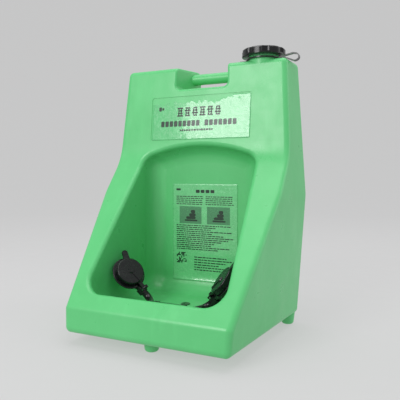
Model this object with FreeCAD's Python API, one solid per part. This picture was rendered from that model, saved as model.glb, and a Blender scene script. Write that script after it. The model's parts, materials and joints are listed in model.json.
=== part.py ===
"""Portable gravity-fed eyewash station: a hollow green tank with a sloping front basin,
a lobed filler cap on its top and two capped spray heads on a supply arm in the basin.

Frame: +Z up, front towards -Y, +X to the right of a person facing the front.
The origin is on the ground under the middle of the tank's outline. Millimetres.
"""
import FreeCAD, Part
import math
import os

V = FreeCAD.Vector

# ---------------------------------------------------------------- tank, overall
depth = 343.0                # front of the base to the flat rear face
body_height = 554.5          # underside of the moulding to its top
rear_width_base = 414.0      # widths of the rear face at the base, the waist and the top
rear_width_waist = 446.0
rear_width_top = 402.0
waist_height = 266.5
plan_taper = 0.104           # each side moves in by this much per millimetre towards the front
wall = 5.0
edge_radius = 12.0
waist_radius = 90.0

# front profile: setback from the front of the base, and height above the underside
lip_setback = 4.0
lip_height = 50.5
kink_setback = 243.0
kink_height = 348.5
kink_radius = 110.0
brow_setback = 263.0

# ---------------------------------------------------------------- basin
basin_mouth_width = 302.0    # between the side walls at the front
basin_rear_width = 276.0     # between the side walls at the rear wall
basin_shoulder_height = 346.5
basin_arch_height = 374.5
basin_floor_height = 28.5    # at the foot of the lip
basin_floor_rise = 6.0       # the floor climbs this much towards the rear
basin_rear_setback = 285.0
basin_rear_lean = 6.0        # the rear wall comes forward this much towards its top
basin_corner_radius = 38.0
basin_shoulder_radius = 30.0
lip_crest_height = 82.0
lip_wall_run = 28.0          # how far the lip's inner wall slopes back down to the floor
lip_crest_radius = 9.0
rim_radius = 10.0            # rounding of the basin's mouth
basin_shoulder_draft = 4.0   # each side wall comes in by this much at the shoulder
lip_foot_extra_radius = 8.0  # the floor's corners are this much softer in front and behind
rear_foot_extra_radius = 2.0
lip_crest_inset = 2.0        # crest of the lip behind the sloping front
crest_thinning = 0.35        # share of the wall that the lip's crest drops by inside
tool_overrun = 40.0          # cutting solids run past the tank by at least this much

# ---------------------------------------------------------------- carrying handle
notch_width = 126.0          # at the front edge
notch_taper = 17.0           # each side wall comes in by this much on its way to the bar
notch_depth = 51.0           # at the front edge
notch_fall = 12.0            # the notch floor drops this much towards the rear
notch_floor_radius = 10.0
notch_edge_radius = 6.0
bar_diameter = 25.0
bar_rear_inset = 9.0         # rear of the bar to the rear face
bar_top_inset = 7.7
bar_end_overlap = 2.0        # how far the bar's ends run into the notch walls

# ---------------------------------------------------------------- feet
foot_height = 22.5
foot_root_diameter = 34.0
foot_tip_diameter = 26.0
foot_tip_radius = 6.0
foot_front_setback = 44.0
foot_side_inset = 20.0       # centre of a rear foot to the side of the rear face's base
foot_rear_inset = 20.0
foot_root_depth = 10.0       # how far a foot runs up into the tank

# ---------------------------------------------------------------- filler neck, cap and tether
neck_offset = 134.0          # right of the middle
neck_setback = 295.0
neck_outer_radius = 33.0
neck_wall = 5.0
neck_bore_radius = neck_outer_radius - neck_wall
neck_height = 19.0           # above the top of the tank
thread_clearance = 0.4
cap_gap = 10.5                # top of the tank to the cap's lower edge
cap_top_thickness = 4.0
cap_lobe_radius = 47.0
cap_valley_radius = 42.5
cap_lobes = 8
cap_chamfer = 2.5
cap_groove_radius = 14.0     # of the hollows between the lobes
cap_groove_start = 3.0       # above the cap's lower edge
cap_dish_radius = 14.0
cap_dish_depth = 1.2
vent_hole_count = 6
vent_hole_radius = 1.2
vent_hole_circle = 5.5
gasket_thickness = 2.0
vent_stem_radius = 2.0
vent_running_clearance = 0.08
vent_disc_radius = 9.0
vent_disc_thickness = 1.3
vent_disc_gap = 0.1          # disc to the cap's inner face when it's shut
vent_button_rim = 1.2
vent_button_thickness = 1.6
vent_travel = 1.5
tether_thickness = 2.4
tether_stand = 3.0           # top of the tank to the tether ring
tether_width = 8.0
tether_ring_width = 4.5
tether_bend_radius = 8.0
tether_reach = 79.0          # middle of the neck to the loop's outer turn
tether_tail = 16.0           # length of the pull tail beyond the ring
tether_root = 1.5            # overlap of the tail and the loop with the ring

# ---------------------------------------------------------------- labels
front_label_width = 239.0
front_label_low = 388.5
front_label_high = 484.5
label_recess_depth = 1.0
label_recess_margin = 3.0
label_thickness = 0.5
label_corner_radius = 3.0
rear_label_width = 164.0
rear_label_low = 76.5
rear_label_high = 288.5

# ---------------------------------------------------------------- supply arm
tube_turn = 30.0             # supply tube round the head, away from straight below the tab
tube_radius = 7.5
tube_bore_radius = 5.8
arm_height = 41.0            # middle of the arm's level run above the tank's underside
arm_bend_radius = 18.0
arm_setback = 112.0          # of the level run through the tee
arm_bend_offset = 50.0       # where a tube turns into the level run, left and right of the middle
tee_radius = tube_radius + 2.5
tee_half_length = 24.0
socket_length = 10.0         # how far an arm tube goes into the tee
spigot_radius = 7.0
insert_radius = 10.0
insert_flange_radius = 15.0
insert_flange_thickness = 2.5
insert_stand = 0.6           # its top stands this much above the sloping floor
insert_flange_gap = 0.3      # flange to the inside of the basin floor
strainer_inset = 2.0         # strainer's side inside the insert's flange
strainer_wall = 1.6
strainer_clearance = 2.0     # strainer to the inside of the tank's bottom
strainer_slots = 6           # cut right across, so each makes two openings
strainer_slot_width = 3.0
strainer_rim = 2.6           # solid ring above the slots
strainer_sill = 2.4          # solid part below them
stem_wall = 2.5              # tee's stem outside the insert's bore
spigot_wall = 1.8
seal_depth = 4.0             # rubber ring behind the tee's mouth
nut_corner_reach = 11.65      # middle of the nut to its corners
nut_length = 12.0
nut_gap = 0.2                # nut to the tee's end
nut_corner_radius = 1.0
fit_clearance = 0.05
ring_section = 0.8           # half the section of the rubber rings

# ---------------------------------------------------------------- spray heads
head_offset = 102.0          # middle of the cap's face, left and right of the middle
head_setback = 131.0
head_height = 105.5
face_inward = 0.702          # direction that a head faces: inwards, forwards and up
face_forward = 0.402
face_up = 0.588
cap_plate = 3.0
cap_skirt_depth = 11.5       # below the cap's face
collar_radius = 28.0
collar_clearance = 0.5
cap_skirt_wall = 1.5
cap_face_radius = collar_radius + collar_clearance + cap_skirt_wall
collar_depth = 4.8           # top of the head's collar below the cap's face
flange_radius = cap_face_radius + 6.0
flange_depth = 12.0
flange_thickness = 3.5
head_depth = 29.5
head_wall = 2.4
head_back_radius = 7.0
socket_wall = 1.7
head_tube_depth = 21.0       # axis of the supply tube below the cap's face
head_tube_inset = 3.5        # end of the supply tube inside the collar's outer side
socket_reach = 7.0           # tube socket beyond the collar
flange_edge_radius = 1.2
diffuser_gap = 1.2           # top of the collar to the diffuser
ledge_width = 1.8            # inner ring that carries the foam
ledge_thickness = 1.6
insert_play = 0.1            # diffuser and foam to the cup's inner wall
diffuser_thickness = 2.5
foam_thickness = 4.0
restrictor_thickness = 2.5
restrictor_bore_radius = 1.8
spray_hole_radius = 1.3
tab_length = 20.0
tab_width = 15.0
tab_thickness = 3.2
tab_depth = 6.0              # underside of the tab below the cap's face
tab_taper = 1.5              # each side comes in by this much at the tip
tab_tip_radius = 5.0
cap_edge_radius = 2.2
boss_foot_radius = 7.0
boss_top_radius = 5.5
boss_height = 2.4
rib_width = 5.0
rib_height = 1.4
face_sink = 0.2              # boss and rib start this much below the cap's face
hinge_reach = 10.0           # rim of the flange to the cap's hinge pin
hinge_radius = flange_radius + hinge_reach
hinge_depth = 9.0            # hinge pin below the cap's face
hinge_pin_radius = 1.5
knuckle_radius = 3.6
knuckle_width = 8.0
strap_thickness = 3.0        # between the cap and its knuckle
strap_overlap = 1.2
ear_thickness = 3.0
ear_play = 0.5               # each side of the knuckle
ear_clearance = 0.6          # round the knuckle
cap_seal_thickness = 1.5
cap_seal_width = 5.5
clip_width = 13.0
clip_wall = 2.8

# ---------------------------------------------------------------- basin drain
drain_setback = 186.0
drain_bore_radius = 5.0
drain_sleeve_radius = 7.0
drain_flange_radius = 9.5
drain_flange_thickness = 1.5
drain_post_radius = 12.0
drain_flange_stand = 0.4     # flange above the sloping floor at its middle
grate_depth = 5.0
grate_wall = 0.9
grate_bar_width = 1.2
grate_bar_height = 2.0
grate_bar_sink = 0.4         # bars below the flange's face


def at(x, setback, height):
    """Point at a setback from the front of the base and a height above the underside."""
    return V(x, setback - depth / 2, height + foot_height)


def rounded_wire(corners):
    """Closed wire through (point, radius) corners, each rounded by an arc."""
    count = len(corners)
    edges = []
    starts = []
    ends = []
    arcs = []
    for index in range(count):
        point, radius = corners[index]
        before = (corners[index - 1][0] - point).normalize()
        after = (corners[(index + 1) % count][0] - point).normalize()
        if radius <= 0:
            starts.append(point)
            ends.append(point)
            arcs.append(None)
            continue
        half_angle = before.getAngle(after) / 2
        reach = radius / math.tan(half_angle)
        bisector = (before + after).normalize()
        middle = point + bisector * (radius / math.sin(half_angle) - radius)
        first = point + before * reach
        last = point + after * reach
        starts.append(first)
        ends.append(last)
        arcs.append(Part.Arc(first, middle, last).toShape())
    for index in range(count):
        if arcs[index] is not None:
            edges.append(arcs[index])
        leave = ends[index]
        arrive = starts[(index + 1) % count]
        if leave.distanceToPoint(arrive) > 1e-6:
            edges.append(Part.LineSegment(leave, arrive).toShape())
    return Part.Wire(edges)


def prism(corners, direction):
    """Solid made by sweeping a closed rounded outline along a direction."""
    return Part.Face(rounded_wire(corners)).extrude(direction)


def edges_where(solid, test):
    """Edges of a solid whose middle point and ends pass a test."""
    chosen = []
    for edge in solid.Edges:
        middle = edge.valueAt((edge.FirstParameter + edge.LastParameter) / 2)
        if test(edge, middle):
            chosen.append(edge)
    return chosen


# ================================================================ tank shell
def rear_half_width(height):
    """Half width of the rear face at a height above the underside."""
    if height < waist_height:
        share = height / waist_height
        return (rear_width_base + share * (rear_width_waist - rear_width_base)) / 2
    share = (height - waist_height) / (body_height - waist_height)
    return (rear_width_waist + share * (rear_width_top - rear_width_waist)) / 2


def half_width(setback, height):
    """Half width of the body anywhere on its sides."""
    return rear_half_width(height) - plan_taper * (depth - setback)


def flat_faced_solid(loops):
    """Solid bounded by flat faces, each given as a loop of points."""
    faces = [Part.Face(Part.makePolygon(loop + [loop[0]])) for loop in loops]
    return Part.Solid(Part.Shell(faces))


def side_wedge(inset):
    """Solid between the tank's two drafted sides, running past its top, bottom and ends."""
    heights = [-tool_overrun, waist_height, body_height + tool_overrun]
    ends = [-tool_overrun, depth + tool_overrun]

    def corner(side, end, level):
        return at(side * (half_width(ends[end], heights[level]) - inset), ends[end], heights[level])

    loops = []
    for side in (-1, 1):
        for level in (0, 1):
            loops.append([corner(side, 0, level), corner(side, 1, level),
                          corner(side, 1, level + 1), corner(side, 0, level + 1)])
    for level in (0, 2):
        loops.append([corner(-1, 0, level), corner(1, 0, level), corner(1, 1, level), corner(-1, 1, level)])
    for end in (0, 1):
        loops.append([corner(-1, end, 0), corner(1, end, 0), corner(1, end, 1),
                      corner(1, end, 2), corner(-1, end, 2), corner(-1, end, 1)])
    wedge = flat_faced_solid(loops)
    waist = at(0, 0, waist_height).z
    waist_edges = edges_where(wedge, lambda edge, middle: all(
        abs(vertex.Z - waist) < 1e-3 for vertex in edge.Vertexes))
    waist_edges = [edge for edge in waist_edges if abs(edge.Vertexes[0].Y - edge.Vertexes[1].Y) > 1]
    return wedge.makeFillet(waist_radius, waist_edges)


def body_block(inset, radius):
    """The tank's rounded outer block, or the same block with every face moved inwards."""
    corners = [(at(0, 0, 0), 0),
               (at(0, lip_setback, lip_height), 0),
               (at(0, kink_setback, kink_height), kink_radius),
               (at(0, brow_setback, body_height), 0),
               (at(0, depth, body_height), 0),
               (at(0, depth, 0), 0)]
    profile = rounded_wire(corners)
    if inset > 0:
        profile = profile.makeOffset2D(-inset, 2)
    reach = rear_width_waist
    slab = Part.Face(profile)
    slab.translate(V(-reach, 0, 0))
    slab = slab.extrude(V(2 * reach, 0, 0))
    return soften(slab.common(side_wedge(inset)), radius)


def is_sharp(solid, edge):
    """True where the two faces beside an edge meet at an angle."""
    faces = solid.ancestorsOfType(edge, Part.Face)
    if len(faces) < 2:
        return False
    middle = edge.valueAt((edge.FirstParameter + edge.LastParameter) / 2)
    normals = []
    for face in faces[:2]:
        u, v = face.Surface.parameter(middle)
        normals.append(face.normalAt(u, v))
    return normals[0].getAngle(normals[1]) > math.radians(3)


def soften(solid, radius):
    """Round every sharp edge of a solid."""
    return solid.makeFillet(radius, [edge for edge in solid.Edges if is_sharp(solid, edge)])


def basin_space(outset):
    """The basin's hollow, open to the front; an outset gives the space that its walls take up too."""
    ahead = -1.5 * tool_overrun
    top = basin_arch_height + outset
    floor = basin_floor_height - outset
    rear = basin_rear_setback + outset
    wall_slope = (lip_crest_height - basin_floor_height) / lip_wall_run
    shift = outset * math.hypot(1, wall_slope) / wall_slope
    crest = lip_crest_height - outset * crest_thinning
    foot_setback = crest_setback() + (crest - floor) / wall_slope - shift
    crest_shifted = crest_setback() - shift
    above = top + 1.5 * tool_overrun
    rear_low = floor + basin_floor_rise
    profile = [(at(0, ahead, crest), 0),
               (at(0, crest_shifted, crest), lip_crest_radius),
               (at(0, foot_setback, floor), basin_corner_radius + outset + lip_foot_extra_radius),
               (at(0, rear, rear_low), basin_corner_radius + outset + rear_foot_extra_radius),
               (at(0, rear - rear_wall_slope() * (above - rear_low), above), 0),
               (at(0, ahead, above), 0)]
    reach = rear_width_waist
    slab = Part.Face(rounded_wire(profile))
    slab.translate(V(-reach, 0, 0))
    slab = slab.extrude(V(2 * reach, 0, 0))

    def arch(setback, width):
        half = width / 2 + outset
        shoulder = basin_shoulder_height + outset
        narrow = half - basin_shoulder_draft
        below = floor - 2 * tool_overrun
        points = [at(-half, setback, below),
                  at(half, setback, below),
                  at(narrow, setback, shoulder),
                  at(0, setback, top),
                  at(-narrow, setback, shoulder)]
        edges = [Part.LineSegment(points[0], points[1]).toShape(),
                 Part.LineSegment(points[1], points[2]).toShape(),
                 Part.Arc(points[2], points[3], points[4]).toShape(),
                 Part.LineSegment(points[4], points[0]).toShape()]
        return Part.Wire(edges)

    slope = (basin_mouth_width - basin_rear_width) / basin_rear_setback
    behind = rear + tool_overrun
    wedge = Part.makeLoft([arch(ahead, basin_mouth_width - ahead * slope),
                           arch(behind, basin_mouth_width - behind * slope)], True, True)
    space = slab.common(wedge)
    shoulder = at(0, 0, basin_shoulder_height + outset).z
    shoulders = [edge for edge in space.Edges
                 if runs_along_y(edge) and abs(edge.Vertexes[0].Z - shoulder) < 1]
    space = space.makeFillet(basin_shoulder_radius + outset, shoulders)
    mouth = at(0, ahead, 0).y
    sharp = []
    for edge in space.Edges:
        in_mouth = all(abs(vertex.Y - mouth) < 1e-3 for vertex in edge.Vertexes)
        if is_sharp(space, edge) and not in_mouth:
            sharp.append(edge)
    return space.makeFillet(basin_corner_radius + outset, sharp)


def runs_along_y(edge):
    """True for a long edge that runs from front to rear at one height."""
    ends = edge.Vertexes
    return len(ends) == 2 and abs(ends[0].Y - ends[1].Y) > 300 and abs(ends[0].Z - ends[1].Z) < 1


def notch_half_width(setback):
    """Half width of the handle's notch at a setback; it narrows from the brow to the bar."""
    bar_front = depth - bar_rear_inset - bar_diameter
    return notch_width / 2 - notch_taper * (setback - brow_setback) / (bar_front - brow_setback)


def notch_space(outset):
    """The handle's hollow, open to the top, front and rear."""
    slope = notch_fall / (depth - brow_setback)
    ends = (brow_setback - tool_overrun, depth + tool_overrun / 2)
    sections = []
    for setback in ends:
        half = notch_half_width(setback) + outset
        low = body_height - notch_depth - outset - slope * (setback - brow_setback)
        high = body_height + 1.5 * tool_overrun
        sections.append(rounded_wire([(at(-half, setback, low), notch_floor_radius + outset),
                                      (at(half, setback, low), notch_floor_radius + outset),
                                      (at(half, setback, high), 0),
                                      (at(-half, setback, high), 0)]))
    return Part.makeLoft(sections, True, True)


def handle_bar(margin):
    """The round bar across the notch; its ends run into the walls by a margin."""
    radius = bar_diameter / 2
    middle = at(0, depth - bar_rear_inset - radius, body_height - bar_top_inset - radius)
    half = notch_half_width(depth - bar_rear_inset - bar_diameter) + margin
    return Part.makeCylinder(radius, 2 * half, middle - V(half, 0, 0), V(1, 0, 0))


def foot_places():
    """Middle of each foot on the underside: one in front, two behind."""
    side = rear_width_base / 2 - foot_side_inset
    rear = depth - foot_rear_inset
    return [at(0, foot_front_setback, 0), at(-side, rear, 0), at(side, rear, 0)]


def foot(place):
    """A solid foot, narrower towards its rounded tip."""
    cone = Part.makeCone(foot_tip_diameter / 2, foot_root_diameter / 2, foot_height + foot_root_depth,
                         V(place.x, place.y, 0))
    tip = edges_where(cone, lambda edge, middle: abs(middle.z) < 1e-3 and len(edge.Vertexes) == 1)
    return cone.makeFillet(foot_tip_radius, tip)


def floor_at(setback):
    """Height of the basin floor above the underside at a setback."""
    foot_setback = lip_foot_setback()
    share = (setback - foot_setback) / (basin_rear_setback - foot_setback)
    return basin_floor_height + share * basin_floor_rise


def lip_foot_setback():
    """Setback where the lip's inner wall would meet the floor."""
    return crest_setback() + lip_wall_run


def crest_setback():
    """Setback of the lip's crest on the sloping front."""
    rise = (kink_setback - lip_setback) / (kink_height - lip_height)
    return lip_setback + (lip_crest_height - lip_height) * rise + lip_crest_inset


def upright(radius, x, setback, low, high):
    """Upright cylinder between two heights above the underside."""
    return Part.makeCylinder(radius, high - low, at(x, setback, low))


def upper_face_frame():
    """Placement of the upper front face: local X to the right, Y up the face, Z outwards."""
    foot_point = at(0, kink_setback, kink_height)
    up = (at(0, brow_setback, body_height) - foot_point).normalize()
    right = V(1, 0, 0)
    return face_frame(foot_point, right, up)


def face_frame(origin, right, up):
    """Placement with local X, Y and Z along right, up and their normal."""
    rotation = FreeCAD.Rotation(right, up, right.cross(up), "XYZ")
    return FreeCAD.Placement(origin, rotation)


def rear_wall_slope():
    """How far the basin's rear wall comes forward for each millimetre of height."""
    return basin_rear_lean / (basin_arch_height - basin_floor_height)


def rear_wall_frame():
    """Placement of the basin's rear wall: local X to the right, Y up the wall, Z outwards."""
    start_height = basin_floor_height + basin_floor_rise
    origin = at(0, basin_rear_setback, start_height)
    up = V(0, -rear_wall_slope(), 1).normalize()
    return face_frame(origin, V(1, 0, 0), up)


def sheet(width, low, high, base_height, bottom, top, corner):
    """Rounded rectangle between two local depths, in a face's local frame."""
    half = width / 2
    outline = [(V(-half, low - base_height, bottom), corner),
               (V(half, low - base_height, bottom), corner),
               (V(half, high - base_height, bottom), corner),
               (V(-half, high - base_height, bottom), corner)]
    return prism(outline, V(0, 0, top - bottom))


def front_label_space():
    """The shallow recess that the front label sits in."""
    recess = sheet(front_label_width + 2 * label_recess_margin, front_label_low - label_recess_margin,
                   front_label_high + label_recess_margin, kink_height, -label_recess_depth,
                   tool_overrun / 2, label_corner_radius + label_recess_margin)
    recess.Placement = upper_face_frame()
    return recess


def tank_shell():
    """The hollow moulding with its basin, handle, feet, neck and drain post."""
    outer = soften(body_block(0, edge_radius).cut(basin_space(0)), rim_radius)
    outer = soften(outer.cut(notch_space(0)), notch_edge_radius)
    for place in foot_places():
        outer = outer.fuse(foot(place))
    outer = outer.fuse(handle_bar(bar_end_overlap))
    outer = outer.fuse(upright(neck_outer_radius, neck_offset, neck_setback,
                               body_height - edge_radius, body_height + neck_height))
    hollow = body_block(wall, edge_radius - wall)
    hollow = hollow.cut(basin_space(wall))
    hollow = hollow.cut(notch_space(wall))
    hollow = hollow.cut(upright(drain_post_radius, 0, drain_setback, 0, basin_floor_height + 20))
    shell = outer.cut(hollow)
    shell = shell.cut(upright(neck_bore_radius, neck_offset, neck_setback,
                              body_height - wall - 20, body_height + neck_height + 1))
    shell = shell.cut(upright(drain_sleeve_radius, 0, drain_setback, -1, basin_floor_height + 30))
    shell = shell.cut(upright(insert_radius, 0, arm_setback, wall + 1, floor_at(arm_setback) + 5))
    shell = shell.cut(front_label_space())
    return shell.removeSplitter()


# ================================================================ filler cap and tether
def ring(outer, inner, low, high):
    """Flat ring about the neck's axis between two heights above the underside."""
    disc = upright(outer, neck_offset, neck_setback, low, high)
    return disc.cut(upright(inner, neck_offset, neck_setback, low - 1, high + 1))


def cap_low():
    """Height of the cap's lower edge above the tank's underside."""
    return body_height + cap_gap


def seat_height():
    """Height of the cap's inner face: the neck's rim plus the gasket."""
    return body_height + neck_height + gasket_thickness


def filler_cap():
    """Screw cap with a lobed grip, a plain threaded bore and a vent hole in its middle."""
    top = seat_height() + cap_top_thickness
    grip = upright(cap_lobe_radius, neck_offset, neck_setback, cap_low(), top)
    upper_edge = edges_where(grip, lambda edge, middle: abs(middle.z - top - foot_height) < 1e-3
                             and len(edge.Vertexes) == 1)
    grip = grip.makeChamfer(cap_chamfer, upper_edge)
    for index in range(cap_lobes):
        angle = 2 * math.pi * (index + 0.5) / cap_lobes
        away = cap_valley_radius + cap_groove_radius
        middle = at(neck_offset + away * math.cos(angle), neck_setback + away * math.sin(angle),
                    cap_low() + cap_groove_start)
        groove = Part.makeCylinder(cap_groove_radius, top, middle)
        grip = grip.cut(groove)
    bore = neck_outer_radius + thread_clearance
    cap = grip.cut(upright(bore, neck_offset, neck_setback, cap_low() - 1, seat_height()))
    hole = vent_stem_radius + vent_running_clearance
    cap = cap.cut(upright(hole, neck_offset, neck_setback, cap_low(), top + 1))
    cap = cap.cut(upright(cap_dish_radius, neck_offset, neck_setback, top - cap_dish_depth, top + 1))
    for index in range(vent_hole_count):
        angle = 2 * math.pi * index / vent_hole_count
        x = neck_offset + vent_hole_circle * math.cos(angle)
        setback = neck_setback + vent_hole_circle * math.sin(angle)
        cap = cap.cut(upright(vent_hole_radius, x, setback, cap_low(), top + 1))
    return cap


def cap_gasket():
    """Rubber ring between the neck's rim and the cap."""
    return ring(neck_outer_radius, neck_bore_radius - 1, seat_height() - gasket_thickness, seat_height())


def vent_valve():
    """Rubber umbrella valve: a disc under the cap's vent holes on a stem with a button on top."""
    under = seat_height()
    over = seat_height() + cap_top_thickness - cap_dish_depth
    disc_top = under - vent_disc_gap
    disc = upright(vent_disc_radius, neck_offset, neck_setback, disc_top - vent_disc_thickness, disc_top)
    stop = over + vent_travel + vent_disc_gap
    stem = upright(vent_stem_radius, neck_offset, neck_setback, disc_top - vent_disc_thickness / 2,
                   stop + vent_button_thickness / 2)
    button = upright(vent_stem_radius + vent_button_rim, neck_offset, neck_setback, stop,
                     stop + vent_button_thickness)
    return disc.fuse([stem, button]).removeSplitter()


def band(points, radius, thickness, width):
    """Flat strap of one thickness whose middle line runs through points in the X-Z plane."""
    segments = []
    for index in range(len(points) - 1):
        segments.append(Part.LineSegment(points[index], points[index + 1]).toShape())
    wire = Part.Wire(segments)
    if len(points) > 2:
        wire = rounded_path(points, radius)
    start = points[0]
    heading = (points[1] - points[0]).normalize()
    side = V(0, 1, 0)
    normal = heading.cross(side)
    half_width = side * (width / 2)
    half_thickness = normal * (thickness / 2)
    loop = [start + half_width + half_thickness, start - half_width + half_thickness,
            start - half_width - half_thickness, start + half_width - half_thickness]
    section = Part.makePolygon(loop + [loop[0]])
    return wire.makePipeShell([section], True, False)


def rounded_path(points, radius):
    """Open wire of straight runs through points, joined by tangent arcs."""
    edges = []
    cursor = points[0]
    for index in range(1, len(points) - 1):
        point = points[index]
        before = (points[index - 1] - point).normalize()
        after = (points[index + 1] - point).normalize()
        half_angle = before.getAngle(after) / 2
        shorter = min(points[index - 1].distanceToPoint(point), points[index + 1].distanceToPoint(point))
        limit = 0.45 * shorter
        reach = min(radius / math.tan(half_angle), limit)
        arc_radius = reach * math.tan(half_angle)
        bisector = (before + after).normalize()
        middle = point + bisector * (arc_radius / math.sin(half_angle) - arc_radius)
        first = point + before * reach
        last = point + after * reach
        if cursor.distanceToPoint(first) > 1e-6:
            edges.append(Part.LineSegment(cursor, first).toShape())
        edges.append(Part.Arc(first, middle, last).toShape())
        cursor = last
    edges.append(Part.LineSegment(cursor, points[-1]).toShape())
    return Part.Wire(edges)


def cap_tether():
    """Moulded strap: a ring round the neck under the cap, a pull tail and a side loop."""
    low = body_height + tether_stand
    high = low + tether_thickness
    inner = neck_outer_radius + thread_clearance
    collar = ring(inner + tether_ring_width, inner, low, high)
    level = low + tether_thickness / 2
    tail_end = inner + tether_ring_width + tether_tail
    tail = band([at(neck_offset - inner - tether_root, neck_setback, level),
                 at(neck_offset - tail_end, neck_setback, level)],
                0, tether_thickness, tether_width)
    outer = neck_offset + tether_reach
    loop = band([at(neck_offset + inner + tether_root, neck_setback, level),
                 at(outer - 28, neck_setback, level),
                 at(outer - 9, neck_setback, level - 8),
                 at(outer, neck_setback, level - 3),
                 at(outer - 3, neck_setback, level + 7),
                 at(outer - 14, neck_setback, level + 9),
                 at(neck_offset + cap_lobe_radius + 1, neck_setback, level + 6)],
                tether_bend_radius, tether_thickness, tether_width)
    return collar.fuse([tail, loop]).removeSplitter()


# ================================================================ labels
def front_label():
    """Clear glossy sheet in the recess above the basin."""
    label = sheet(front_label_width, front_label_low, front_label_high, kink_height,
                  -label_recess_depth, label_thickness - label_recess_depth, label_corner_radius)
    label.Placement = upper_face_frame()
    return label


def instruction_label():
    """Sheet on the basin's rear wall."""
    label = sheet(rear_label_width, rear_label_low, rear_label_high, basin_floor_height + basin_floor_rise,
                  0, label_thickness, label_corner_radius)
    label.Placement = rear_wall_frame()
    return label


# ================================================================ basin drain
def drain_sleeve():
    """Flanged sleeve that lines the drain post from the basin floor to the underside."""
    floor = floor_at(drain_setback)
    seat = floor + drain_flange_thickness
    sleeve = upright(drain_sleeve_radius, 0, drain_setback, 0, seat)
    sleeve = sleeve.fuse(upright(drain_flange_radius, 0, drain_setback, floor + drain_flange_stand,
                                 seat + drain_flange_stand))
    return sleeve.cut(upright(drain_bore_radius, 0, drain_setback, -1, seat + 1)).removeSplitter()


def drain_grate():
    """Cross-barred strainer pressed into the drain sleeve."""
    top = floor_at(drain_setback) + drain_flange_thickness
    grate = upright(drain_bore_radius, 0, drain_setback, top - grate_depth, top)
    inner = drain_bore_radius - grate_wall
    grate = grate.cut(upright(inner, 0, drain_setback, top - grate_depth - 1, top + 1))
    length = 2 * drain_bore_radius - grate_wall
    for turn in (0, 90):
        bar = Part.makeBox(length, grate_bar_width, grate_bar_height,
                           V(-length / 2, -grate_bar_width / 2, 0))
        bar.rotate(V(0, 0, 0), V(0, 0, 1), turn)
        bar.translate(at(0, drain_setback, top - grate_bar_sink - grate_bar_height))
        grate = grate.fuse(bar)
    return grate.removeSplitter()


# ================================================================ outlet and supply arm
def outlet_insert():
    """Moulded-in threaded insert that carries water from the tank up through the basin floor."""
    floor = floor_at(arm_setback)
    flange_top = floor - wall - insert_flange_gap
    low = flange_top - insert_flange_thickness
    insert = upright(insert_radius, 0, arm_setback, low, floor + insert_stand)
    insert = insert.fuse(upright(insert_flange_radius, 0, arm_setback, low, flange_top))
    bore = upright(spigot_radius + fit_clearance, 0, arm_setback, 0, floor + 5)
    return insert.cut(bore).removeSplitter()


def outlet_strainer():
    """Slotted cup that keeps dirt out of the outlet."""
    top = floor_at(arm_setback) - wall - insert_flange_gap - insert_flange_thickness
    low = wall + strainer_clearance
    outer = insert_flange_radius - strainer_inset
    cup = upright(outer, 0, arm_setback, low, top)
    cup = cup.cut(upright(outer - strainer_wall, 0, arm_setback, low + strainer_wall, top + 1))
    for index in range(strainer_slots):
        slot = Part.makeBox(2 * outer + 4, strainer_slot_width, top - low - strainer_rim - strainer_sill,
                            V(-outer - 2, -strainer_slot_width / 2, 0))
        slot.rotate(V(0, 0, 0), V(0, 0, 1), 180.0 * index / strainer_slots)
        slot.translate(at(0, arm_setback, low + strainer_sill))
        cup = cup.cut(slot)
    return cup


def supply_tee():
    """Tee that stands on the outlet insert and feeds both arm tubes."""
    middle = at(0, arm_setback, arm_height)
    start = middle - V(tee_half_length, 0, 0)
    barrel = Part.makeCylinder(tee_radius, 2 * tee_half_length, start, V(1, 0, 0))
    floor = floor_at(arm_setback)
    stem = upright(insert_radius + stem_wall, 0, arm_setback, floor + insert_stand, arm_height)
    spigot = upright(spigot_radius, 0, arm_setback, floor - wall - insert_flange_thickness, arm_height)
    tee = barrel.fuse([stem, spigot])
    tee = tee.cut(upright(spigot_radius - spigot_wall, 0, arm_setback, 0, arm_height))
    tee = tee.cut(Part.makeCylinder(tube_bore_radius, 2 * tee_half_length + 2,
                                    start - V(1, 0, 0), V(1, 0, 0)))
    socket = tube_radius + fit_clearance
    for side in (-1, 1):
        mouth = middle + V(side * tee_half_length, 0, 0)
        tee = tee.cut(Part.makeCylinder(socket, socket_length, mouth, V(-side, 0, 0)))
        tee = tee.cut(ring_space(mouth - V(side * seal_depth, 0, 0), V(-side, 0, 0)))
    return tee.removeSplitter()


def ring_space(place, axis):
    """Groove for a rubber ring round a tube."""
    outer = Part.makeCylinder(tube_radius + 2 * ring_section, 2 * ring_section, place, axis)
    return outer.cut(Part.makeCylinder(tube_radius - 0.5, 2 * ring_section + 2, place - axis, axis))


def tube_seal(side):
    """Square-cut rubber ring between an arm tube and the tee."""
    mouth = at(side * tee_half_length, arm_setback, arm_height)
    axis = V(-side, 0, 0)
    place = mouth + axis * seal_depth
    outer = Part.makeCylinder(tube_radius + 2 * ring_section, 2 * ring_section, place, axis)
    return outer.cut(Part.makeCylinder(tube_radius, 2 * ring_section + 2, place - axis, axis))


def head_axes(side):
    """Axes of a head: middle of the cap's face, facing direction, away from the tube and across it."""
    facing = V(-side * face_inward, -face_forward, face_up).normalize()
    across = V(0, 0, 1).cross(facing).normalize()
    above = facing.cross(across).normalize()
    turn = math.radians(tube_turn)
    upward = above * math.cos(turn) + across * (side * math.sin(turn))
    across = upward.cross(facing)
    return at(side * head_offset, head_setback, head_height), facing, upward, across


def turned(shape, side):
    """Place a shape drawn with its face at the origin, facing +Z and upward +Y, at a head."""
    centre, facing, upward, across = head_axes(side)
    rotation = FreeCAD.Rotation(across, upward, facing, "ZYX")
    shape.Placement = FreeCAD.Placement(centre, rotation).multiply(shape.Placement)
    return shape


def below_face(radius, top, bottom):
    """Cylinder on a head's axis between two depths below the cap's face."""
    return Part.makeCylinder(radius, bottom - top, V(0, 0, -bottom))


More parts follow.
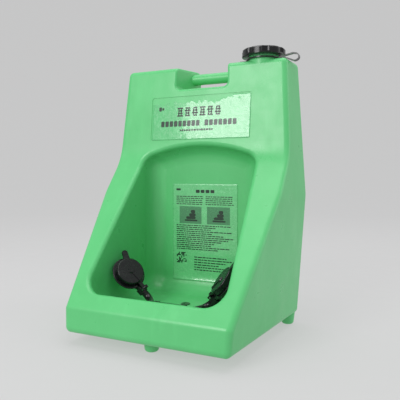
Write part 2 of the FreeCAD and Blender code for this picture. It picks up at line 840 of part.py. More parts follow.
def arm_route(side):
    """Points of an arm tube's middle line from the head to the tee."""
    centre, facing, upward, across = head_axes(side)
    start = centre - facing * head_tube_depth - upward * (collar_radius - head_tube_inset)
    drop = (start.z - at(0, 0, arm_height).z) / upward.z
    bend = start - upward * drop
    turn = at(side * arm_bend_offset, arm_setback, arm_height)
    end = at(side * (tee_half_length - socket_length), arm_setback, arm_height)
    return [start, bend, turn, end]


def arm_tube(side):
    """Bent tube from a head down to the level run and into the tee."""
    route = arm_route(side)
    wire = rounded_path(route, arm_bend_radius)
    heading = (route[1] - route[0]).normalize()
    section = Part.Wire(Part.makeCircle(tube_radius, route[0], heading))
    bore = Part.Wire(Part.makeCircle(tube_bore_radius, route[0], heading))
    tube = wire.makePipeShell([section], True, False)
    return tube.cut(wire.makePipeShell([bore], True, False))


def tube_nut(side):
    """Six-sided nut that clamps an arm tube to the tee."""
    start = at(side * (tee_half_length + nut_gap), arm_setback, arm_height)
    radius = nut_corner_reach
    corners = []
    for index in range(6):
        angle = math.pi * index / 3
        corner = start + V(0, radius * math.cos(angle), radius * math.sin(angle))
        corners.append((corner, nut_corner_radius))
    nut = prism(corners, V(side * nut_length, 0, 0))
    return nut.cut(Part.makeCylinder(tube_radius, nut_length + 2, start - V(side, 0, 0), V(side, 0, 0)))


# ================================================================ spray heads
def head_body(side):
    """Cup of a spray head: collar, rim flange and the socket of the supply tube."""
    cup = below_face(collar_radius, collar_depth, head_depth)
    back = edges_where(cup, lambda edge, middle: abs(middle.z + head_depth) < 1e-3
                       and len(edge.Vertexes) == 1)
    cup = cup.makeFillet(head_back_radius, back)
    flange = below_face(flange_radius, flange_depth, flange_depth + flange_thickness)
    rims = [edge for edge in flange.Edges if len(edge.Vertexes) == 1]
    flange = flange.makeFillet(flange_edge_radius, rims)
    reach = collar_radius + socket_reach
    socket = Part.makeCylinder(tube_radius + socket_wall, reach, V(0, 0, -head_tube_depth), V(0, -1, 0))
    cup = cup.fuse([flange, socket])
    cup = cup.cut(below_face(collar_radius - head_wall, collar_depth - 1, head_depth - head_wall))
    ledge_top = collar_depth + diffuser_gap + diffuser_thickness + foam_thickness
    ledge = below_face(collar_radius - head_wall / 2, ledge_top, ledge_top + ledge_thickness)
    ledge = ledge.cut(below_face(collar_radius - head_wall - ledge_width, ledge_top - 1,
                                 ledge_top + ledge_thickness + 1))
    cup = cup.fuse(ledge)
    tube_end = V(0, head_tube_inset - collar_radius, -head_tube_depth)
    cup = cup.cut(Part.makeCylinder(tube_radius, reach, tube_end, V(0, -1, 0)))
    cup = cup.cut(Part.makeCylinder(tube_bore_radius, head_wall + head_tube_inset, tube_end, V(0, 1, 0)))
    return turned(cup.removeSplitter(), side)


def diffuser(side):
    """Plate with rings of small spray holes."""
    top = collar_depth + diffuser_gap
    radius = collar_radius - head_wall - insert_play
    plate = below_face(radius, top, top + diffuser_thickness)
    holes = [below_face(spray_hole_radius, top - 1, top + diffuser_thickness + 1)]
    for circle, count in ((6.5, 6), (13.0, 12), (19.5, 18)):
        for index in range(count):
            angle = 2 * math.pi * index / count
            hole = below_face(spray_hole_radius, top - 1, top + diffuser_thickness + 1)
            hole.translate(V(circle * math.cos(angle), circle * math.sin(angle), 0))
            holes.append(hole)
    return turned(plate.cut(holes), side)


def foam_filter(side):
    """Open-cell foam disc behind the diffuser."""
    top = collar_depth + diffuser_gap + diffuser_thickness
    return turned(below_face(collar_radius - head_wall - insert_play, top, top + foam_thickness), side)


def flow_restrictor(side):
    """Small disc with one hole in the mouth of the supply tube."""
    start = V(0, -(collar_radius - head_tube_inset) - 3.0, -head_tube_depth)
    disc = Part.makeCylinder(tube_bore_radius, restrictor_thickness, start, V(0, -1, 0))
    bore = Part.makeCylinder(restrictor_bore_radius, restrictor_thickness + 2,
                             start + V(0, 1, 0), V(0, -1, 0))
    return turned(disc.cut(bore), side)


def dust_cap(side):
    """Flip cap with a skirt, a middle boss, a pull tab, a strap rib and its hinge knuckle."""
    plate = below_face(cap_face_radius, 0, cap_skirt_depth)
    face_edge = edges_where(plate, lambda edge, middle: abs(middle.z) < 1e-3 and len(edge.Vertexes) == 1)
    cap = plate.makeFillet(cap_edge_radius, face_edge)
    cap = cap.cut(below_face(collar_radius + collar_clearance, cap_plate, cap_skirt_depth + 1))
    boss = Part.makeCone(boss_foot_radius, boss_top_radius, boss_height, V(0, 0, -face_sink))
    half = tab_width / 2
    tip = cap_face_radius + tab_length
    root = cap_face_radius - 6
    tab = prism([(V(-half, root, -tab_depth), 0),
                 (V(half, root, -tab_depth), 0),
                 (V(half - tab_taper, tip, -tab_depth), tab_tip_radius),
                 (V(-half + tab_taper, tip, -tab_depth), tab_tip_radius)], V(0, 0, tab_thickness))
    tab = tab.cut(below_face(cap_face_radius - 1.5, 0, cap_skirt_depth + 1))
    tab.rotate(V(0, 0, 0), V(0, 0, 1), side * tube_turn)
    rib = Part.makeBox(rib_width, cap_face_radius - 3, rib_height,
                       V(-rib_width / 2, -cap_face_radius + 2, -face_sink))
    strap = Part.makeBox(knuckle_width, hinge_radius - cap_face_radius + strap_overlap, strap_thickness,
                         V(-knuckle_width / 2, -hinge_radius, -hinge_depth - strap_thickness / 5))
    knuckle = Part.makeCylinder(knuckle_radius, knuckle_width,
                                V(-knuckle_width / 2, -hinge_radius, -hinge_depth), V(1, 0, 0))
    cap = cap.fuse([boss, tab, rib, strap, knuckle])
    pin_hole = Part.makeCylinder(hinge_pin_radius + fit_clearance, knuckle_width + 2,
                                 V(-knuckle_width / 2 - 1, -hinge_radius, -hinge_depth), V(1, 0, 0))
    return turned(cap.cut(pin_hole).removeSplitter(), side)


def cap_seal(side):
    """Rubber ring under the dust cap's plate."""
    outer = collar_radius - collar_clearance
    seal = below_face(outer, cap_plate, cap_plate + cap_seal_thickness)
    return turned(seal.cut(below_face(outer - cap_seal_width, 0, cap_skirt_depth)), side)


def hinge_clip(side):
    """Ring round the arm tube with two ears that hold the dust cap's hinge pin."""
    axis_start = V(0, -hinge_radius + clip_width / 2, -head_tube_depth)
    outer = tube_radius + clip_wall
    clip = Part.makeCylinder(outer, clip_width, axis_start, V(0, -1, 0))
    ear_gap = knuckle_width / 2 + ear_play
    ear_height = head_tube_depth - hinge_depth + knuckle_radius
    ears = []
    for low in (ear_gap, -ear_gap - ear_thickness):
        ears.append(Part.makeBox(ear_thickness, 2 * knuckle_radius, ear_height,
                                 V(low, -hinge_radius - knuckle_radius, -head_tube_depth)))
    clip = clip.fuse(ears)
    clip = clip.cut(Part.makeCylinder(tube_radius, clip_width + 2, axis_start + V(0, 1, 0), V(0, -1, 0)))
    clearance = knuckle_radius + ear_clearance
    pocket = Part.makeCylinder(clearance, 2 * ear_gap,
                               V(-ear_gap, -hinge_radius, -hinge_depth), V(1, 0, 0))
    reach = ear_gap + ear_thickness + 1
    hole = Part.makeCylinder(hinge_pin_radius, 2 * reach,
                             V(-reach, -hinge_radius, -hinge_depth), V(1, 0, 0))
    clip = clip.cut([pocket, hole])
    return turned(clip.removeSplitter(), side)


def hinge_pin(side):
    """Plain pin through the clip's ears and the cap's knuckle."""
    length = knuckle_width + 2 * ear_play + 2 * ear_thickness
    return turned(Part.makeCylinder(hinge_pin_radius, length, V(-length / 2, -hinge_radius, -hinge_depth),
                                    V(1, 0, 0)), side)


# ================================================================ all parts
def build():
    """Every sub-part by node name."""
    parts = {"tank_shell": tank_shell(),
             "filler_cap": filler_cap(),
             "cap_gasket": cap_gasket(),
             "vent_valve": vent_valve(),
             "cap_tether": cap_tether(),
             "front_label": front_label(),
             "instruction_label": instruction_label(),
             "drain_sleeve": drain_sleeve(),
             "drain_grate": drain_grate(),
             "outlet_insert": outlet_insert(),
             "outlet_strainer": outlet_strainer(),
             "supply_tee": supply_tee()}
    paired = {"tube_seal": tube_seal, "arm_tube": arm_tube, "tube_nut": tube_nut, "head_body": head_body,
              "diffuser": diffuser, "foam_filter": foam_filter, "flow_restrictor": flow_restrictor,
              "dust_cap": dust_cap, "cap_seal": cap_seal, "hinge_clip": hinge_clip, "hinge_pin": hinge_pin}
    for name, make in paired.items():
        parts["left_" + name] = make(-1)
        parts["right_" + name] = make(1)
    return parts


if __name__ == "__main__":
    os.makedirs("parts", exist_ok=True)
    for name, shape in build().items():
        print(name, shape.isValid(), len(shape.Solids), round(shape.Volume / 1000, 2))
        shape.exportStep("parts/" + name + ".step")
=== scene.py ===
"""Looks of the portable eyewash station: materials, label films and their print, floor, light, camera.

Metres, +Z up, front towards -Y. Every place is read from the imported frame.
"""

import json
import math
import random

import bmesh
import bpy
from mathutils import Matrix, Vector, noise


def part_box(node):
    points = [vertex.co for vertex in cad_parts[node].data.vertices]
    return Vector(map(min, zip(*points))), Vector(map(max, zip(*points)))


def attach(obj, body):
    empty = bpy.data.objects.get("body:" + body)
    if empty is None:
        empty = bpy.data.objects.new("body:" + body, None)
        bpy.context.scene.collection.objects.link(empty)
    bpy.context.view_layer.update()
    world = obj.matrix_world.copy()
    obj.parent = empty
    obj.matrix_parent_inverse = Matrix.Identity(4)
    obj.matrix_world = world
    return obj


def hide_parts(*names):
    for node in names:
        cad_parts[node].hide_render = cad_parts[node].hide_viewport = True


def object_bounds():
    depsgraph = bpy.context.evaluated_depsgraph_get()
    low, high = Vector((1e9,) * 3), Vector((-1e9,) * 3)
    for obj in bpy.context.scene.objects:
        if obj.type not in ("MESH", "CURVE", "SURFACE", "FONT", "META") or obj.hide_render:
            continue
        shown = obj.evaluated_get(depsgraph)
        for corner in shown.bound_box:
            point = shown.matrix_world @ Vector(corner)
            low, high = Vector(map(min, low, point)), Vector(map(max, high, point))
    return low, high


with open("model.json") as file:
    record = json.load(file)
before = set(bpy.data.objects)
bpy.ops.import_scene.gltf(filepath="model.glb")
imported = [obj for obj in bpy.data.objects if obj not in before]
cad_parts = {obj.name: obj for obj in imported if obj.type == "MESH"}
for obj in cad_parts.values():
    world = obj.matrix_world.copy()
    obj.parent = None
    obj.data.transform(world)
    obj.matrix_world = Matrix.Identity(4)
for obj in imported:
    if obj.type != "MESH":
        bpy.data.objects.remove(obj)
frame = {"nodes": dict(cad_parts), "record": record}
nodes = frame["nodes"]
cad_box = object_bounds()

MM = 0.001

# ---------------------------------------------------------------- camera, as the object is seen
camera_place = Vector((0.4511, -0.8907, 0.3265))
camera_azimuth = math.radians(24.80)     # to the right of straight in front
camera_tilt = math.radians(2.76)         # downwards
camera_roll = math.radians(0.23)
camera_lens = 42.94
camera_sensor = 36.0

# ---------------------------------------------------------------- colours, linear
tank_green = (0.112, 0.560, 0.196)
tank_shade = (0.098, 0.520, 0.175)
film_green = (0.118, 0.545, 0.205)
sheet_green = (0.150, 0.600, 0.240)
picture_green = (0.060, 0.240, 0.105)
ink_green = (0.005, 0.030, 0.014)
black = (0.0050, 0.0056, 0.0066)
drain_shade = (0.020, 0.120, 0.040)
fitting_grey = (0.26, 0.27, 0.28)
foam_pore = (0.02, 0.02, 0.022)
foam_wall = (0.11, 0.115, 0.12)
steel = (0.56, 0.57, 0.58)
brass = (0.62, 0.43, 0.16)
studio_grey = (0.200, 0.200, 0.202)
studio_glow = 0.44                       # the paper's own light, which keeps its shadow weak
white = (1.0, 1.0, 1.0, 1.0)

# ---------------------------------------------------------------- lights: place, size and power
key_light = ((-0.75, -2.4, 1.5), (1.1, 1.5), 36.0)
overhead_light = ((0.1, 0.0, 2.6), (2.2, 2.2), 30.0)
right_light = ((2.4, 1.2, 1.2), (1.6, 2.2), 13.0)
surround_colour = (0.90, 0.91, 0.92, 1.0)
surround_strength = 0.55

# ---------------------------------------------------------------- label films
film_thickness = 0.5 * MM
film_slack = 0.1 * MM                    # taken off the flat film, to leave room for its wrinkles
film_corner = 3.0 * MM
front_cell = 2.0 * MM                    # spacing of the film's grid
rear_cell = 3.0 * MM
rear_film_tail = 16.0 * MM               # length that follows the curve into the basin floor
floor_curve = 40.0 * MM
front_worn_start = 0.72                  # share of the width where the front film starts to lift
front_ripple = 0.05 * MM
front_worn_ripple = 0.20 * MM
front_crease = 0.35 * MM
rear_ripple = 0.10 * MM
ripple_level = 0.6                       # lifts the ripples, which go both ways, off the flat film
ink_proud = 0.10 * MM                    # top of a printed bar above its lift
ink_depth = 0.15 * MM                    # its underside below the lift
front_ink_lift = 0.02 * MM
rear_ink_lift = 0.06 * MM
picture_lift = 0.04 * MM

# ---------------------------------------------------------------- print, in shares of its label's sides
front_marks = ((0.065, 0.70, 0.030, 0.10), (0.100, 0.72, 0.020, 0.06))
heading_count = 6
heading_left = 0.265
heading_low = 0.550
heading_step = 0.0775
heading_width = 0.062
heading_height = 0.215
line_groups = ((0.095, 9), (0.555, 7))   # left end and number of the bars in each group
line_low = 0.315
line_step = 0.0465
line_width = 0.036
line_height = 0.135
small_line = (0.30, 0.20, 0.34, 0.045)
front_words = (2 * MM, 7 * MM, 1.2 * MM)   # shortest word, longest word, gap

rear_mark = (0.06, 0.925, 0.07, 0.022)
rear_heading_count = 4
rear_heading_left = 0.37
rear_heading_low = 0.900
rear_heading_step = 0.075
rear_heading_width = 0.058
rear_heading_height = 0.034
column_lefts = (0.06, 0.52)
column_rows = 5
column_top = 0.855
column_pitch = 0.021
column_width = 0.42
column_line = 0.009
picture_lefts = (0.11, 0.54)
picture_low = 0.560
picture_width = 0.345
picture_height = 0.190
body_rows = 13
body_top = 0.535
body_pitch = 0.022
body_width = 0.88
body_line = 0.010
code_cells = 9
code_low = 0.115
code_cell = 0.055 / 6                    # share of the height
code_spacing = 1.5                       # cells
code_square = 1.35
code_fill = 0.62                         # share of the cells that are inked
note_left = 0.34
note_top = 0.185
note_rows = 6
note_pitch = 0.028
note_width = 0.58
note_line = 0.011
text_margin = 0.06
column_words = (3 * MM, 11 * MM, 1.5 * MM)
body_words = (3 * MM, 13 * MM, 1.5 * MM)
note_words = (3 * MM, 12 * MM, 1.5 * MM)

# ---------------------------------------------------------------- backdrop
backdrop_floor_radius = 3.0
backdrop_curve = 2.4
backdrop_top = 7.0
backdrop_steps = 20
backdrop_turns = 72


# ================================================================ materials
class Surface:
    """A node material whose texture is fixed to the object's own coordinates."""

    def __init__(self, name, **constants):
        self.material = bpy.data.materials.new(name)
        self.material.use_nodes = True
        self.tree = self.material.node_tree
        self.shader = self.tree.nodes["Principled BSDF"]
        for key, value in constants.items():
            self.shader.inputs[key.replace("_", " ")].default_value = value
        self.place = self.tree.nodes.new("ShaderNodeTexCoord").outputs["Object"]

    def add(self, kind, **settings):
        node = self.tree.nodes.new("ShaderNode" + kind)
        for key, value in settings.items():
            setattr(node, key, value)
        return node

    def link(self, source, target):
        self.tree.links.new(source, target)

    def stretched(self, scale):
        """The object's coordinates scaled differently along each axis."""
        mapping = self.add("Mapping")
        mapping.inputs["Scale"].default_value = scale
        self.link(self.place, mapping.inputs["Vector"])
        return mapping.outputs["Vector"]

    def noise(self, scale, detail=2.0, roughness=0.5, where=None):
        texture = self.add("TexNoise")
        texture.inputs["Scale"].default_value = scale
        texture.inputs["Detail"].default_value = detail
        texture.inputs["Roughness"].default_value = roughness
        self.link(where or self.place, texture.inputs["Vector"])
        return texture.outputs["Fac"]

    def ranged(self, value, low, high, to_low, to_high):
        """A value carried from one range to another, and held inside it."""
        node = self.add("MapRange")
        self.link(value, node.inputs["Value"])
        node.inputs["From Min"].default_value = low
        node.inputs["From Max"].default_value = high
        node.inputs["To Min"].default_value = to_low
        node.inputs["To Max"].default_value = to_high
        return node.outputs["Result"]

    def times(self, first, second):
        node = self.add("Math", operation="MULTIPLY")
        self.link(first, node.inputs[0])
        self.link(second, node.inputs[1])
        return node.outputs["Value"]

    def mixed(self, share, first, second):
        """A colour between two, each given as numbers or as a socket."""
        node = self.add("Mix", data_type="RGBA")
        self.link(share, node.inputs["Factor"])
        for key, value in (("A", first), ("B", second)):
            socket = [s for s in node.inputs if s.name == key and s.type == "RGBA"][0]
            if isinstance(value, tuple):
                socket.default_value = value + (1.0,)
            else:
                self.link(value, socket)
        return [s for s in node.outputs if s.type == "RGBA"][0]

    def colour(self, socket):
        self.link(socket, self.shader.inputs["Base Color"])

    def roughness(self, socket):
        self.link(socket, self.shader.inputs["Roughness"])

    def bumps(self, *layers):
        """Chain (height socket, depth in metres) layers into the shader's normal."""
        normal = None
        for height, depth in layers:
            bump = self.add("Bump")
            bump.inputs["Strength"].default_value = 1.0
            bump.inputs["Distance"].default_value = depth
            self.link(height, bump.inputs["Height"])
            if normal is not None:
                self.link(normal, bump.inputs["Normal"])
            normal = bump.outputs["Normal"]
        self.link(normal, self.shader.inputs["Normal"])


def tank_plastic():
    """Rotationally moulded polyethylene: waxy, faintly mottled, with fine orange peel."""
    s = Surface("tank_plastic", Specular_IOR_Level=0.52)
    cloud = s.noise(7.0, 3.0, 0.55)
    flow = s.noise(1.0, 3.0, 0.6, s.stretched((34.0, 34.0, 7.0)))
    speck = s.noise(900.0, 1.0)
    tone = s.mixed(s.ranged(cloud, 0.32, 0.68, 0.0, 1.0), tank_green, tank_shade)
    pale = tuple(min(1.0, 1.16 * part + 0.02) for part in tank_green)
    tone = s.mixed(s.ranged(flow, 0.55, 0.80, 0.0, 0.30), tone, pale)
    s.colour(s.mixed(s.ranged(speck, 0.62, 0.75, 0.0, 0.22), tone, pale))
    s.roughness(s.ranged(s.noise(24.0, 4.0, 0.6), 0.30, 0.70, 0.27, 0.38))
    sag = s.noise(9.0, 2.0)
    orange_peel = s.noise(260.0, 2.0)
    tooth = s.noise(1300.0, 1.0)
    s.bumps((sag, 2.6 * MM), (orange_peel, 0.10 * MM), (tooth, 0.03 * MM))
    return s.material


def moulded(name, base, rough, sheen=0.5, grain=900.0, grain_depth=0.03 * MM, dust=0.02, coat=0.0):
    """A small moulded part: fine grain, uneven gloss and a trace of dust."""
    s = Surface(name, Specular_IOR_Level=sheen, Coat_Weight=coat, Coat_Roughness=0.12)
    light = tuple(part + dust for part in base)
    wear = s.noise(70.0, 4.0, 0.65)
    fleck = s.noise(1500.0, 1.0)
    tone = s.mixed(s.ranged(wear, 0.48, 0.78, 0.0, 0.8), base, light)
    s.colour(s.mixed(s.ranged(fleck, 0.66, 0.76, 0.0, 0.5), tone, light))
    s.roughness(s.ranged(s.noise(110.0, 3.0), 0.3, 0.7, rough - 0.07, rough + 0.09))
    s.bumps((s.noise(60.0, 2.0), 0.18 * MM), (s.noise(grain, 2.0), grain_depth))
    return s.material


def foam():
    """Open-cell foam: pale walls round dark pores."""
    s = Surface("foam", Specular_IOR_Level=0.2)
    cells = s.add("TexVoronoi")
    cells.inputs["Scale"].default_value = 1100.0
    s.link(s.place, cells.inputs["Vector"])
    pore = cells.outputs["Distance"]
    s.colour(s.mixed(s.ranged(pore, 0.1, 0.6, 0.0, 1.0), foam_pore, foam_wall))
    s.roughness(s.ranged(pore, 0.0, 0.6, 0.85, 0.98))
    s.bumps((pore, 0.6 * MM))
    return s.material


def metal(name, base, rough, grain):
    """Bare metal with fine turning marks along one axis."""
    s = Surface(name, Metallic=1.0)
    lines = s.noise(1.0, 2.0, 0.6, s.stretched(grain))
    dull = tuple(part * 0.72 for part in base)
    s.colour(s.mixed(s.ranged(lines, 0.35, 0.7, 0.0, 1.0), base, dull))
    s.roughness(s.ranged(lines, 0.3, 0.7, rough, rough + 0.15))
    s.bumps((lines, 0.04 * MM))
    return s.material


def label_film(name, base, worn_from, worn_to):
    """Clear gloss film on green plastic: even in its middle, bubbled and dusty towards one end, its
    bubbles painted paler as painted glints.
    """
    s = Surface(name, Specular_IOR_Level=0.5, Coat_Weight=0.7, Coat_Roughness=0.06)
    split = s.add("SeparateXYZ")
    s.link(s.place, split.inputs["Vector"])
    worn = s.ranged(split.outputs["X"], worn_from, worn_to, 0.06, 1.0)
    # bubble mask: real bubbles in the bump, and a painted highlight where it paints the film paler
    bubble_and_glint = s.ranged(s.noise(420.0, 3.0, 0.6), 0.52, 0.66, 0.0, 1.0)
    streak = s.ranged(s.noise(1.0, 3.0, 0.6, s.stretched((60.0, 60.0, 260.0))), 0.50, 0.70, 0.0, 0.5)
    pale = tuple(min(1.0, part + 0.12) for part in base)
    dark = tuple(part * 0.88 for part in base)
    tone = s.mixed(s.ranged(s.noise(38.0, 3.0), 0.35, 0.65, 0.0, 0.7), base, dark)
    tone = s.mixed(s.times(streak, worn), tone, pale)
    # painted glints: the bubbles towards the worn end are painted paler, as light catching them
    s.colour(s.mixed(s.times(bubble_and_glint, worn), tone, pale))
    s.roughness(s.ranged(s.noise(160.0, 3.0), 0.3, 0.7, 0.10, 0.34))
    s.bumps((s.noise(90.0, 3.0), 0.35 * MM), (s.times(bubble_and_glint, worn), 0.08 * MM))
    return s.material


def printed_ink(name, base):
    """Ink on a film: nearly even, with small faded patches."""
    s = Surface(name, Specular_IOR_Level=0.4, Coat_Weight=0.4, Coat_Roughness=0.1)
    faded = tuple(part * 2.2 + 0.01 for part in base)
    s.colour(s.mixed(s.ranged(s.noise(700.0, 2.0), 0.55, 0.75, 0.0, 0.8), base, faded))
    s.roughness(s.ranged(s.noise(200.0, 2.0), 0.3, 0.7, 0.30, 0.45))
    s.bumps((s.noise(900.0, 1.0), 0.02 * MM))
    return s.material


def studio_paper():
    """Pale floor and backdrop with the faintest tooth."""
    s = Surface("studio_paper", Specular_IOR_Level=0.12, Emission_Strength=studio_glow)
    darker = tuple(part * 0.985 for part in studio_grey)
    s.colour(s.mixed(s.noise(3.0, 2.0), studio_grey, darker))
    s.roughness(s.ranged(s.noise(20.0, 2.0), 0.3, 0.7, 0.75, 0.85))
    s.bumps((s.noise(500.0, 2.0), 0.03 * MM))
    s.shader.inputs["Emission Color"].default_value = white
    return s.material


# ================================================================ mesh helpers
def piece_from(name, mesh, material, body):
    """Link a mesh as a piece that rides on a body."""
    piece = bpy.data.objects.new(name, mesh)
    bpy.context.scene.collection.objects.link(piece)
    piece.data.materials.append(material)
    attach(piece, body)
    return piece


class Face:
    """A flat face of the tank that a film lies on; u runs to the right, v up the face, w outwards."""

    def __init__(self, low_left, up, width, height):
        self.low_left = low_left
        self.right = Vector((1.0, 0.0, 0.0))
        self.up = up.normalized()
        self.out = self.right.cross(self.up)
        self.width = width
        self.height = height

    def at(self, u, v, w):
        return self.low_left + self.right * u + self.up * v + self.out * w


class HollowFace(Face):
    """A face whose lower end curves forwards into the basin floor."""

    curve_radius = floor_curve

    def at(self, u, v, w):
        if v >= 0:
            return super().at(u, v, w)
        angle = -v / self.curve_radius
        inside = self.curve_radius - w
        forward = self.curve_radius - inside * math.cos(angle)
        down = inside * math.sin(angle)
        return self.low_left + self.right * u + self.out * forward - self.up * down


def film(name, face, thickness, cell, wrinkle, low, material):
    """A closed thin sheet on a face, its outer side lifted by a wrinkle function of (u, v)."""
    columns = int(face.width / cell)
    rows = int((face.height - low) / cell)
    build = bmesh.new()
    layers = []
    for side in (0, 1):
        grid = []
        for row in range(rows + 1):
            line = []
            for column in range(columns + 1):
                u = face.width * column / columns
                v = low + (face.height - low) * row / rows
                w = side * (thickness + wrinkle(u, v))
                u, v = rounded_corner(u, v, face.width, low, face.height, film_corner)
                line.append(build.verts.new(face.at(u, v, w)))
            grid.append(line)
        layers.append(grid)
    inner, outer = layers
    for row in range(rows):
        for column in range(columns):
            a, b = outer[row][column], outer[row][column + 1]
            c, d = outer[row + 1][column + 1], outer[row + 1][column]
            build.faces.new((a, b, c, d))
            a, b = inner[row][column], inner[row][column + 1]
            c, d = inner[row + 1][column + 1], inner[row + 1][column]
            build.faces.new((d, c, b, a))
    rim = [(0, column) for column in range(columns)]
    rim += [(row, columns) for row in range(rows)]
    rim += [(rows, column) for column in range(columns, 0, -1)]
    rim += [(row, 0) for row in range(rows, 0, -1)]
    for index, (row, column) in enumerate(rim):
        next_row, next_column = rim[(index + 1) % len(rim)]
        build.faces.new((inner[row][column], inner[next_row][next_column],
                         outer[next_row][next_column], outer[row][column]))
    for polygon in build.faces:
        polygon.smooth = True
    mesh = bpy.data.meshes.new(name)
    build.to_mesh(mesh)
    build.free()
    return piece_from(name, mesh, material, "tank")


def rounded_corner(u, v, width, low, high, radius):
    """Pull the points of a rectangle's corners in to an arc."""
    cu = min(max(u, radius), width - radius)
    cv = min(max(v, low + radius), high - radius)
    away = Vector((u - cu, v - cv))
    if away.length > radius:
        away = away.normalized() * radius
    return cu + away.x, cv + away.y


class Print:
    """Bars of ink on a face, gathered into one mesh."""

    def __init__(self, face, lift):
        self.face = face
        self.lift = lift
        self.build = bmesh.new()

    def bar(self, u, v, width, height, corner=0.25):
        """A bar with rounded corners and a little thickness; corner is a share of its shorter side."""
        radius = corner * min(width, height)
        outline = []
        corners = ((u + width - radius, v + height - radius, 0),
                   (u + radius, v + height - radius, 90),
                   (u + radius, v + radius, 180),
                   (u + width - radius, v + radius, 270))
        for cu, cv, start in corners:
            for turn in (0, 45, 90):
                angle = math.radians(start + turn)
                outline.append((cu + radius * math.cos(angle), cv + radius * math.sin(angle)))
        top = [self.build.verts.new(self.face.at(a, b, self.lift + ink_proud)) for a, b in outline]
        bottom = [self.build.verts.new(self.face.at(a, b, self.lift - ink_depth)) for a, b in outline]
        self.build.faces.new(top)
        self.build.faces.new(bottom[::-1])
        count = len(outline)
        for index in range(count):
            after = (index + 1) % count
            self.build.faces.new((bottom[index], bottom[after], top[after], top[index]))

    def block(self, u, v, width, height, turn):
        """A block of four level strokes between two uprights, the strokes' lengths taking turns."""
        stroke = 0.16 * height
        for level in range(4):
            inset = 0.12 * width * ((level + turn) % 3)
            self.bar(u + inset, v + level * (height - stroke) / 3, width - 1.6 * inset, stroke, 0.3)
        for side in (0.16, 0.62):
            self.bar(u + side * width, v + 0.5 * stroke, 0.17 * width, height - stroke, 0.3)

    def words(self, u, v, width, height, shortest, longest, gap, draw):
        """A row of bars of uneven length, as a line of print seen from afar."""
        end = u + width
        while u < end - shortest:
            length = min(draw.uniform(shortest, longest), end - u)
            self.bar(u, v, length, height)
            u += length + gap

    def piece(self, name, material, slot):
        mesh = bpy.data.meshes.new(name)
        self.build.to_mesh(mesh)
        self.build.free()
        return piece_from(name, mesh, material, "tank")


# ================================================================ labels
def front_label(material, ink):
    """Clear film in the recess above the basin, with a generic printed block of three rows."""
    low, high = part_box("front_label")
    rise = Vector((0.0, high.y - low.y, high.z - low.z))
    low_left = Vector((low.x, low.y + film_thickness, low.z))
    face = Face(low_left, rise, high.x - low.x, rise.length - film_thickness / 4)

    def wrinkle(u, v):
        share = max(0.0, (u / face.width - front_worn_start) / (1.0 - front_worn_start))
        ripple = noise.noise(Vector((u * 95.0, v * 120.0, 2.0)))
        crease = max(0.0, noise.noise(Vector((u * 40.0 + 7.0, v * 260.0, 5.0)))) * share
        return (front_ripple + front_worn_ripple * share) * (ripple + ripple_level) + front_crease * crease

    sheet = film("front_film", face, film_thickness - film_slack, front_cell, wrinkle, 0.0,
                 material)
    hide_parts("front_label")
    marks = Print(face, film_thickness + front_ink_lift)
    width, height = face.width, face.height
    for left, bottom, wide, tall in front_marks:
        marks.bar(left * width, bottom * height, wide * width, tall * height)
    for index in range(heading_count):
        marks.block((heading_left + heading_step * index) * width, heading_low * height,
                    heading_width * width, heading_height * height, index)
    for first, count in line_groups:
        for index in range(count):
            marks.bar(first * width + index * line_step * width, line_low * height,
                      line_width * width, line_height * height, 0.2)
    left, bottom, wide, tall = small_line
    marks.words(left * width, bottom * height, wide * width, tall * height,
                *front_words, random.Random(3))
    return marks.piece("front_print", ink, "label_clear")


def instruction_label(material, ink, picture_ink):
    """Printed film on the basin's rear wall: heading, two columns, two pictures, rows and a square."""
    low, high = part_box("instruction_label")
    rise = Vector((0.0, low.y - high.y + film_thickness, high.z - low.z))
    face = HollowFace(Vector((low.x, high.y, low.z)), rise, high.x - low.x, rise.length)

    def wrinkle(u, v):
        return rear_ripple * (noise.noise(Vector((u * 60.0, v * 50.0, 9.0))) + ripple_level)

    sheet = film("instruction_film", face, film_thickness - film_slack, rear_cell, wrinkle,
                 -rear_film_tail, material)
    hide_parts("instruction_label")
    marks = Print(face, film_thickness + rear_ink_lift)
    width, height = face.width, face.height
    draw = random.Random(11)
    left, bottom, wide, tall = rear_mark
    marks.bar(left * width, bottom * height, wide * width, tall * height)
    for index in range(rear_heading_count):
        marks.bar((rear_heading_left + rear_heading_step * index) * width, rear_heading_low * height,
                  rear_heading_width * width, rear_heading_height * height)
    for left in column_lefts:
        for row in range(column_rows):
            level = (column_top - column_pitch * row) * height
            marks.words(left * width, level, column_width * width, column_line * height,
                        *column_words, draw)
    grounds = Print(face, film_thickness + picture_lift)
    for left in picture_lefts:
        place = (left * width, picture_low * height, picture_width * width, picture_height * height)
        grounds.bar(*place, 0.02)
        picture(marks, *place)
    grounds.piece("instruction_pictures", picture_ink, "label_green")
    for row in range(body_rows):
        level = (body_top - body_pitch * row) * height
        marks.words(text_margin * width, level, body_width * width * draw.uniform(0.55, 1.0),
                    body_line * height, *body_words, draw)
    square = code_cell * height
    for row in range(code_cells):
        for column in range(code_cells):
            if draw.random() < code_fill:
                marks.bar(text_margin * width + column * square * code_spacing,
                          code_low * height + row * square * code_spacing,
                          code_square * square, code_square * square, 0.1)
    for row in range(note_rows):
        level = (note_top - note_pitch * row) * height
        marks.words(note_left * width, level, note_width * width * draw.uniform(0.6, 1.0),
                    note_line * height, *note_words, draw)
    return marks.piece("instruction_print", ink, "label_green")


def picture(marks, u, v, width, height):
    """What a picture shows: only a plain cup on a stem under a slanting hood."""
    shapes = ((0.24, 0.14, 0.58, 0.10, 0.5),
              (0.30, 0.26, 0.44, 0.16, 0.5),
              (0.44, 0.42, 0.30, 0.18, 0.4),
              (0.52, 0.60, 0.20, 0.20, 0.4))
    for left, bottom, wide, tall, corner in shapes:
        marks.bar(u + left * width, v + bottom * height, wide * width, tall * height, corner)


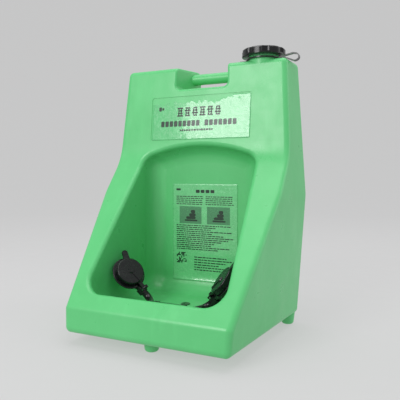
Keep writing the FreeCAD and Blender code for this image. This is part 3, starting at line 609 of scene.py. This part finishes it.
# ================================================================ stage
def backdrop(material):
    """Seamless round floor that curves up into a wall on every side."""
    profile = [(0.5, 0.0), (1.0, 0.0), (2.0, 0.0), (backdrop_floor_radius, 0.0)]
    for step in range(1, backdrop_steps + 1):
        angle = math.pi / 2 * step / backdrop_steps
        profile.append((backdrop_floor_radius + backdrop_curve * math.sin(angle),
                        backdrop_curve - backdrop_curve * math.cos(angle)))
    profile.append((backdrop_floor_radius + backdrop_curve, backdrop_top))
    build = bmesh.new()
    middle = build.verts.new((0.0, 0.0, 0.0))
    circles = []
    for radius, level in profile:
        circle = []
        for turn in range(backdrop_turns):
            angle = 2 * math.pi * turn / backdrop_turns
            circle.append(build.verts.new((radius * math.cos(angle), radius * math.sin(angle), level)))
        circles.append(circle)
    for turn in range(backdrop_turns):
        after = (turn + 1) % backdrop_turns
        build.faces.new((middle, circles[0][turn], circles[0][after]))
        for inner, outer in zip(circles, circles[1:]):
            build.faces.new((inner[turn], outer[turn], outer[after], inner[after]))
    for polygon in build.faces:
        polygon.smooth = True
    mesh = bpy.data.meshes.new("backdrop")
    build.to_mesh(mesh)
    build.free()
    paper = bpy.data.objects.new("backdrop", mesh)
    bpy.context.scene.collection.objects.link(paper)
    paper.data.materials.append(material)


def softbox(name, target, place, size, power):
    """A large area light that faces a target."""
    light = bpy.data.lights.new(name, "AREA")
    light.shape = "RECTANGLE"
    light.size, light.size_y = size
    light.energy = power
    lamp = bpy.data.objects.new(name, light)
    lamp.location = place
    lamp.rotation_euler = (Vector(target) - Vector(place)).to_track_quat("-Z", "Y").to_euler()
    bpy.context.scene.collection.objects.link(lamp)


def studio():
    """Soft light from the front left, from above and from the rear right, and a pale surround."""
    middle = (cad_box[0] + cad_box[1]) / 2
    softbox("key", middle, *key_light)
    softbox("overhead", middle, *overhead_light)
    softbox("right", middle, *right_light)
    world = bpy.data.worlds.new("surround")
    world.use_nodes = True
    background = world.node_tree.nodes["Background"]
    background.inputs["Color"].default_value = surround_colour
    background.inputs["Strength"].default_value = surround_strength
    bpy.context.scene.world = world
    bpy.context.scene.view_settings.view_transform = "Standard"


def camera():
    """Camera at the angle that the object is shown from."""
    data = bpy.data.cameras.new("camera")
    data.lens = camera_lens
    data.sensor_width = camera_sensor
    view = bpy.data.objects.new("camera", data)
    bpy.context.scene.collection.objects.link(view)
    view.matrix_world = (Matrix.Translation(camera_place) @ Matrix.Rotation(camera_azimuth, 4, "Z")
                         @ Matrix.Rotation(math.pi / 2 - camera_tilt, 4, "X")
                         @ Matrix.Rotation(camera_roll, 4, "Z"))
    bpy.context.scene.camera = view


# ================================================================ the object
def dress():
    """Give every CAD node its material, by the record's material slot."""
    finish = {
        "tank_green": tank_plastic(),
        "black_gloss": moulded("cap_black", black, 0.18, sheen=0.36, grain_depth=0.01 * MM, dust=0.004,
                               coat=0.05),
        "black_satin": moulded("fitting_black", black, 0.24, sheen=0.42, dust=0.006, coat=0.05),
        "black_rubber": moulded("rubber_black", black, 0.62, sheen=0.3, grain=600.0, dust=0.015),
        "label_clear": label_film("film_clear", film_green, 0.055, 0.125),
        "label_green": label_film("film_green", sheet_green, -0.20, 0.30),
        "drain_green": moulded("drain_green", drain_shade, 0.40, dust=0.02),
        "foam_grey": foam(),
        "grey_plastic": moulded("grey_plastic", fitting_grey, 0.42, dust=0.05),
        "pin_steel": metal("pin_steel", steel, 0.22, (900.0, 900.0, 40.0)),
        "insert_brass": metal("insert_brass", brass, 0.28, (60.0, 60.0, 1200.0)),
    }
    for part in frame["record"]["subparts"]:
        node = nodes[part["node"]]
        node.data.materials.clear()
        node.data.materials.append(finish[part["material_slot"]])
    return finish


camera()
finish = dress()
front_label(finish["label_clear"], printed_ink("front_ink", ink_green))
instruction_label(finish["label_green"], printed_ink("instruction_ink", ink_green),
                  printed_ink("picture_ink", picture_green))
backdrop(studio_paper())
studio()
